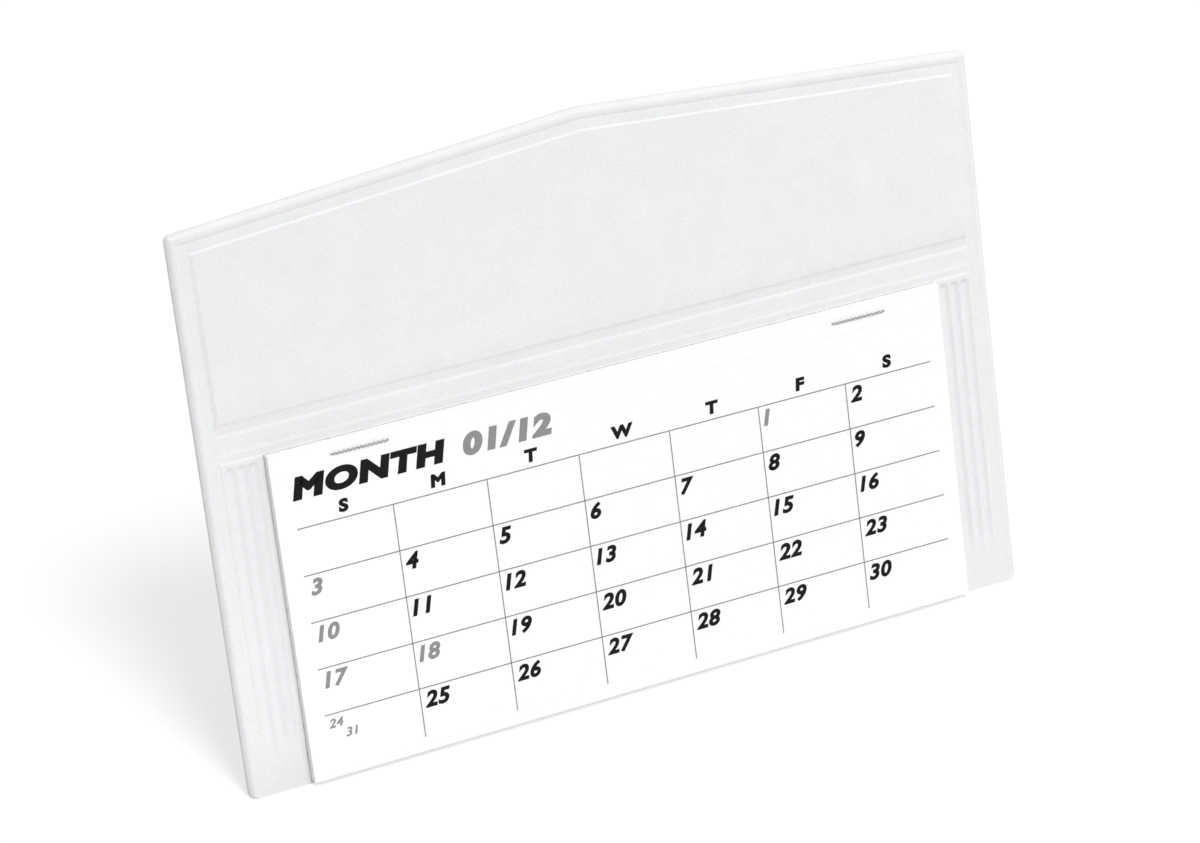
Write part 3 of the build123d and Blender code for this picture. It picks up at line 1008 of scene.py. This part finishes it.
def pale_floor():
    """A pale matte floor that shows white to the camera and keeps the shadow."""
    material = bpy.data.materials.new("pale_floor")
    material.use_nodes = True
    tree = material.node_tree
    tree.nodes.remove(tree.nodes["Principled BSDF"])
    matte = tree.nodes.new("ShaderNodeBsdfDiffuse")
    matte.inputs["Color"].default_value = FLOOR_COLOUR
    faint = tree.nodes.new("ShaderNodeBsdfDiffuse")
    faint.inputs["Color"].default_value = FLOOR_SHOWN
    glow = tree.nodes.new("ShaderNodeEmission")
    glow.inputs["Strength"].default_value = FLOOR_GLOW
    shown = tree.nodes.new("ShaderNodeAddShader")
    tree.links.new(faint.outputs[0], shown.inputs[0])
    tree.links.new(glow.outputs[0], shown.inputs[1])
    mix = tree.nodes.new("ShaderNodeMixShader")
    tree.links.new(seen_straight(tree), mix.inputs["Fac"])
    tree.links.new(matte.outputs[0], mix.inputs[1])
    tree.links.new(shown.outputs[0], mix.inputs[2])
    tree.links.new(mix.outputs[0], tree.nodes["Material Output"].inputs["Surface"])
    return material


def soft_sun(name, source, strength, angle):
    """A broad, even lamp shining from a direction."""
    deselect()
    bpy.ops.object.light_add(type="SUN")
    lamp = bpy.context.object
    lamp.name = name
    lamp.data.energy = strength
    lamp.data.angle = radians(angle)
    lamp.rotation_euler = Vector(source).to_track_quat("Z", "Y").to_euler()


def soft_box(name, place, toward, size, energy):
    """A square lamp at a place, facing a point."""
    deselect()
    bpy.ops.object.light_add(type="AREA")
    lamp = bpy.context.object
    lamp.name = name
    lamp.data.size = size
    lamp.data.energy = energy
    lamp.location = place
    lamp.rotation_euler = (Vector(place) - Vector(toward)).to_track_quat("Z", "Y").to_euler()


deselect()
bpy.ops.mesh.primitive_plane_add(size=FLOOR_SIZE)
floor = bpy.context.object
floor.name = "floor"
floor.data.materials.append(pale_floor())

soft_sun("key_lamp", KEY_FROM, KEY_STRENGTH, KEY_ANGLE)
soft_box("side_lamp", BOX_PLACE, BOX_AIM, BOX_SIZE, BOX_ENERGY)
soft_box("bounce_card", BOUNCE_PLACE, BOUNCE_AIM, BOUNCE_SIZE, BOUNCE_ENERGY)

world = bpy.data.worlds.new("white_surround")
bpy.context.scene.world = world
world.use_nodes = True
air = world.node_tree
backdrop = air.nodes["Background"]
backdrop.inputs["Color"].default_value = (1, 1, 1, 1)
heading = air.nodes.new("ShaderNodeSeparateXYZ")
air.links.new(air.nodes.new("ShaderNodeTexCoord").outputs["Generated"], heading.inputs[0])
light = air.nodes.new("ShaderNodeMapRange")
light.inputs["From Min"].default_value = -1.0
light.inputs["To Min"].default_value = SURROUND_LEFT
light.inputs["To Max"].default_value = SURROUND_RIGHT
air.links.new(heading.outputs["X"], light.inputs["Value"])
brightness = air.nodes.new("ShaderNodeMapRange")
brightness.inputs["To Max"].default_value = 1.0
air.links.new(light.outputs["Result"], brightness.inputs["To Min"])
air.links.new(seen_straight(air), brightness.inputs["Value"])
air.links.new(brightness.outputs["Result"], backdrop.inputs["Strength"])

# Camera: the photograph's angle, distance and framing, for a frame of 1200 by 843
VIEW_TURN = radians(27.29)
VIEW_TILT = radians(30.69)
VIEW_CENTRE = Vector((0, 0, 65))
VIEW_ASIDE = 1.525
VIEW_DROP = 8.177
VIEW_DISTANCE = 991.579
VIEW_LENS = 132
VIEW_SENSOR = 36
VIEW_NEAR = 0.01
VIEW_FAR = 50
ahead = Vector((sin(VIEW_TURN) * cos(VIEW_TILT), cos(VIEW_TURN) * cos(VIEW_TILT), -sin(VIEW_TILT)))
aside = Vector((cos(VIEW_TURN), -sin(VIEW_TURN), 0))
upward = aside.cross(ahead)
view_place = VIEW_CENTRE + aside * VIEW_ASIDE - upward * VIEW_DROP - ahead * VIEW_DISTANCE
deselect()
bpy.ops.object.camera_add()
camera = bpy.context.object
camera.name = "photo_camera"
camera.data.lens = VIEW_LENS
camera.data.sensor_width = VIEW_SENSOR
camera.location = view_place * MM
camera.rotation_euler = Matrix((aside, upward, -ahead)).transposed().to_euler()
camera.data.clip_start = VIEW_NEAR
camera.data.clip_end = VIEW_FAR
bpy.context.scene.camera = camera
bpy.context.scene.view_settings.view_transform = "Standard"
